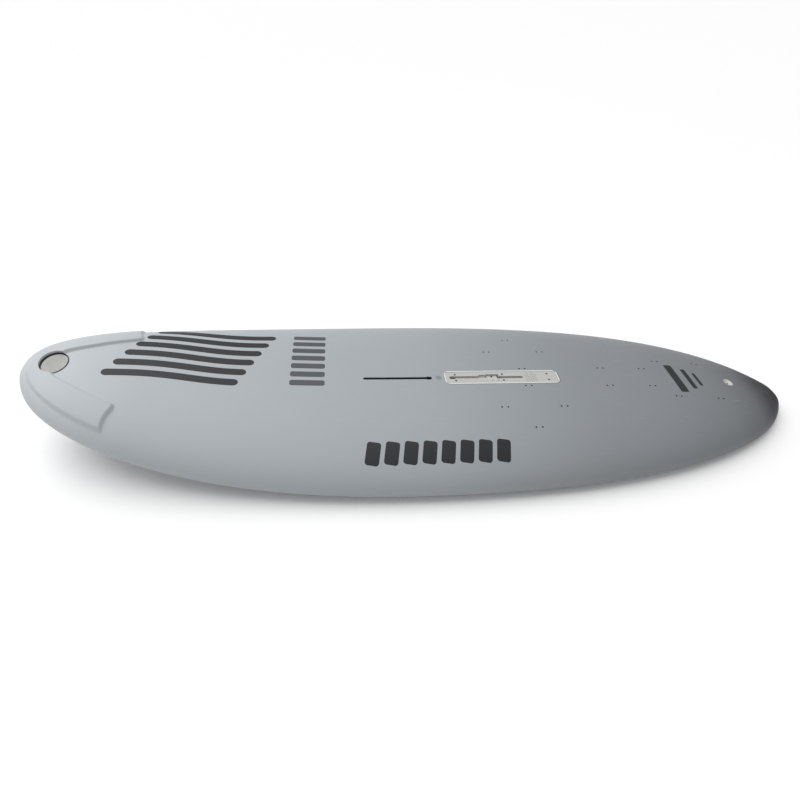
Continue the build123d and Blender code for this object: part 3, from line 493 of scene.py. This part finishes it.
# Deck and bottom shells
deck = half_shell("deck_shell", True, *DECK_GRID)
deck_cuts = [circle(HANDLE_X, 0, HANDLE_RX + LINER, HANDLE_RY + LINER, 96), track_outline()]
cover_rear = COVER_X0 - COVER_GAP - CUT_GAP
cover_half = COVER_W / 2 + CUT_GAP
deck_cuts.append(rounded_rectangle(cover_rear, COVER_X1 + CUT_GAP, cover_half, COVER_R, COVER_R))
deck_cuts += [circle(VENT_X, 0, VENT_R, VENT_R), circle(FIN_X, 0, CUP_R, CUP_R)]
paint(deck, SHELL)
cut(deck, prisms("deck_cutter", deck_cuts, *DECK_CUT, SHELL))
holes = []
for ix, iy in INSERTS:
    for side in (1, -1):
        for end in (-1, 1):
            holes.append(circle(ix + end * INSERT_GAP / 2, side * iy, INSERT_R, INSERT_R, 20))
cut(deck, prisms("hole_cutter", holes, *DECK_CUT, BLACK))
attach(deck, "hull")
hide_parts("deck_skin")

bottom = half_shell("hull_shell", False, *BOTTOM_GRID)
bottom_cuts = [circle(HANDLE_X, 0, HANDLE_RX + LINER, HANDLE_RY + LINER, 96)]
bottom_cuts.append(rounded_rectangle(*CASE_SLOT, 2, 2, 2))
bottom_cuts.append(rounded_rectangle(FIN_X - FIN_BOX_HALF, FIN_X + FIN_BOX_HALF, FIN_BOX_SIDE, 2, 2, 2))
paint(bottom, SHELL)
cut(bottom, prisms("bottom_cutter", bottom_cuts, *BOTTOM_CUT, SHELL))
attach(bottom, "hull")
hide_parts("hull_skin")

# Carried-over CAD nodes
for node, mat, bevel in [
    ("foam_core", FOAM, 0),
    ("nose_handle_liner", WHITE, 0),
    ("nose_handle_seal", RUBBER, 0),
    ("mast_track_box", BLACK, 0),
    ("vent_housing", GREY, 0.5),
    ("vent_screw", GREY, 0.5),
    ("vent_oring", RUBBER, 0),
    ("centreboard_case_port", CASE, 0),
    ("centreboard_case_starboard", CASE, 0),
    ("case_joining_screws", STEEL, 0),
    ("case_cover", COVER, 0.9),
    ("cover_screws", STEEL, 0.5),
    ("centreboard_blade", BLACK, 0.8),
    ("centreboard_lever", LEVER, 0.9),
    ("lever_screws", STEEL, 0.5),
    ("pivot_pin", STEEL, 0),
    ("pivot_bush", BEARING, 0),
    ("thrust_washer_port", BEARING, 0),
    ("thrust_washer_starboard", BEARING, 0),
    ("slot_seal_port", RUBBER, 0),
    ("slot_seal_starboard", RUBBER, 0),
    ("fin_box", BLACK, 0),
    ("fin_bolt_cup", CUP, 0.8),
    ("strap_inserts_front_port", BLACK, 0),
    ("strap_inserts_front_starboard", BLACK, 0),
    ("strap_inserts_rear_port", BLACK, 0),
    ("strap_inserts_rear_starboard", BLACK, 0),
]:
    paint_node(node, mat, bevel)


def bar_strip(centre, half, corner, columns=8):
    """Vertices and faces of a round-cornered printed bar along a centreline of deck points."""
    centre = np.array(centre, float)
    step = np.gradient(centre, axis=0)
    step /= np.linalg.norm(step, axis=1)[:, None]
    side = np.stack([-step[:, 1], step[:, 0]], 1)
    run = np.concatenate([[0], np.cumsum(np.linalg.norm(np.diff(centre, axis=0), axis=1))])
    into = np.clip(np.minimum(run, run[-1] - run), 0, corner)
    reach = half - corner + np.sqrt(np.maximum(corner**2 - (corner - into) ** 2, 0))
    verts = []
    for k in range(columns + 1):
        p = centre + side * (reach * (2 * k / columns - 1))[:, None]
        verts.append(np.column_stack([p, deck_height(p[:, 0], p[:, 1]) + MARK_LIFT]))
    rows = len(centre)
    faces = []
    for k in range(columns):
        for i in range(rows - 1):
            a = k * rows + i
            faces.append((a, a + 1, a + rows + 1, a + rows))
    return np.vstack(verts), faces


def straight(x0, y0, x1, y1, corner):
    """Points along a straight bar, closer together at its round corners."""
    length = math.hypot(x1 - x0, y1 - y0)
    ends = corner * (1 - np.cos(np.linspace(0, math.pi / 2, 8)))
    middle = np.linspace(corner, length - corner, max(int(length / 8), 2) + 1)
    run = np.concatenate([ends[:-1], middle, (length - ends[:-1])[::-1]])
    t = (run / length)[:, None]
    return np.array([[x0, y0]]) * (1 - t) + np.array([[x1, y1]]) * t


def printed_marks(name, bars, mat):
    """Plain printed bars on the deck as one thin piece."""
    verts, faces, count = [], [], 0
    for centre, half, corner in bars:
        v, f = bar_strip(centre, half, corner)
        faces += [tuple(k + count for k in face) for face in f]
        verts.append(v)
        count += len(v)
    obj = new_mesh(name, np.vstack(verts), faces)
    paint(obj, mat)
    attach(obj, "hull")
    return obj


def wave_bar(number):
    """A gently waving line of deck points."""
    shift = WAVE_STEP_X * number
    points = straight(WAVE_X0 + shift, 0, WAVE_X1 + shift, 0, WAVE_CORNER + 1)
    turn = (points[:, 0] - WAVE_START_X) / WAVE_PERIOD * 2 * math.pi
    points[:, 1] = WAVE_Y0 + WAVE_STEP_Y * number + WAVE_SWING * np.sin(turn)
    return points


def rail_block(x):
    """Centreline of one slanted block."""
    return straight(x, BLOCK_Y0, x + BLOCK_SLANT, BLOCK_Y1, BLOCK_CORNER)


waves = [(wave_bar(k), WAVE_HALF, WAVE_CORNER) for k in range(WAVES)]
printed_marks("nose_wave_bars", waves, MARK)
blocks = [(rail_block(x), BLOCK_HALF, BLOCK_CORNER) for x in np.linspace(BLOCK_X0, BLOCK_X1, BLOCKS)]
printed_marks("rail_blocks", blocks, MARK)
dashes = []
for dash_y in np.linspace(DASH_Y0, DASH_Y1, DASHES):
    dashes.append((straight(DASH_X0, dash_y, DASH_X1, dash_y, DASH_CORNER), DASH_HALF, DASH_CORNER))
printed_marks("mid_dashes", dashes, MARK_GREY)
lines = []
for line_x, line_half, line_wide in TAIL_LINES:
    lines.append((straight(line_x, -line_half, line_x, line_half, LINE_CORNER), line_wide, LINE_CORNER))
printed_marks("tail_lines", lines, MARK)

# Camera
CAMERA_TARGET = Vector((0.1534, 0.0626, 0.1))
CAMERA_AZ, CAMERA_EL, CAMERA_ROLL = 171.06, 43.09, 5.17
CAMERA_DISTANCE, CAMERA_LENS = 1.675, 22.89

# Light
SUN_POWER, SUN_SPREAD, SUN_FROM = 1.9, 60, (0.42, -0.40, 1.0)
KEY_PLACE, KEY_AIM, KEY_SIZE, KEY_POWER = (2.2, -1.4, 1.9), (0.6, 0, 0.1), (1.2, 1.2), 10
WORLD_STRENGTH = 0.55
FLOOR_HALF, FLOOR_DROP = 60000, -0.5


def add_camera():
    """The camera, from azimuth, elevation, roll and distance."""
    a, e, r = (math.radians(v) for v in (CAMERA_AZ, CAMERA_EL, CAMERA_ROLL))
    back = Vector((math.sin(a) * math.cos(e), -math.cos(a) * math.cos(e), math.sin(e)))
    right = (-back).cross(Vector((0, 0, 1))).normalized()
    up = right.cross(-back)
    turned = right * math.cos(r) + up * math.sin(r)
    upright = up * math.cos(r) - right * math.sin(r)
    data = bpy.data.cameras.new("camera")
    data.lens, data.sensor_width = CAMERA_LENS, 36.0
    data.clip_start, data.clip_end = 0.01, 50
    cam = bpy.data.objects.new("camera", data)
    bpy.context.scene.collection.objects.link(cam)
    basis = Matrix((turned, upright, back)).transposed().to_4x4()
    cam.matrix_world = Matrix.Translation(CAMERA_TARGET + back * CAMERA_DISTANCE) @ basis
    bpy.context.scene.camera = cam


def area_light(name, place, aim, size, power):
    """A soft box pointed at a spot."""
    data = bpy.data.lights.new(name, "AREA")
    data.shape, data.size, data.size_y = "RECTANGLE", size[0], size[1]
    data.energy = power
    lamp = bpy.data.objects.new(name, data)
    bpy.context.scene.collection.objects.link(lamp)
    lamp.location = place
    lamp.rotation_euler = (Vector(aim) - Vector(place)).to_track_quat("-Z", "Y").to_euler()


add_camera()
sun_data = bpy.data.lights.new("soft_top", "SUN")
sun_data.energy, sun_data.angle = SUN_POWER, math.radians(SUN_SPREAD)
sun = bpy.data.objects.new("soft_top", sun_data)
bpy.context.scene.collection.objects.link(sun)
sun.rotation_euler = Vector(SUN_FROM).to_track_quat("Z", "Y").to_euler()
area_light("key", KEY_PLACE, KEY_AIM, KEY_SIZE, KEY_POWER)
world = bpy.data.worlds.new("world")
bpy.context.scene.world = world
world.use_nodes = True
world.node_tree.nodes["Background"].inputs["Color"].default_value = (1, 1, 1, 1)
world.node_tree.nodes["Background"].inputs["Strength"].default_value = WORLD_STRENGTH
bpy.context.scene.view_settings.view_transform = "Standard"

corner_signs = [(-1, -1), (1, -1), (1, 1), (-1, 1)]
floor_corners = [(sx * FLOOR_HALF, sy * FLOOR_HALF, FLOOR_DROP) for sx, sy in corner_signs]
floor = new_mesh("floor", floor_corners, [(0, 1, 2, 3)])
paint(floor, material("floor_paper", (0.93, 0.93, 0.93), 0.95))
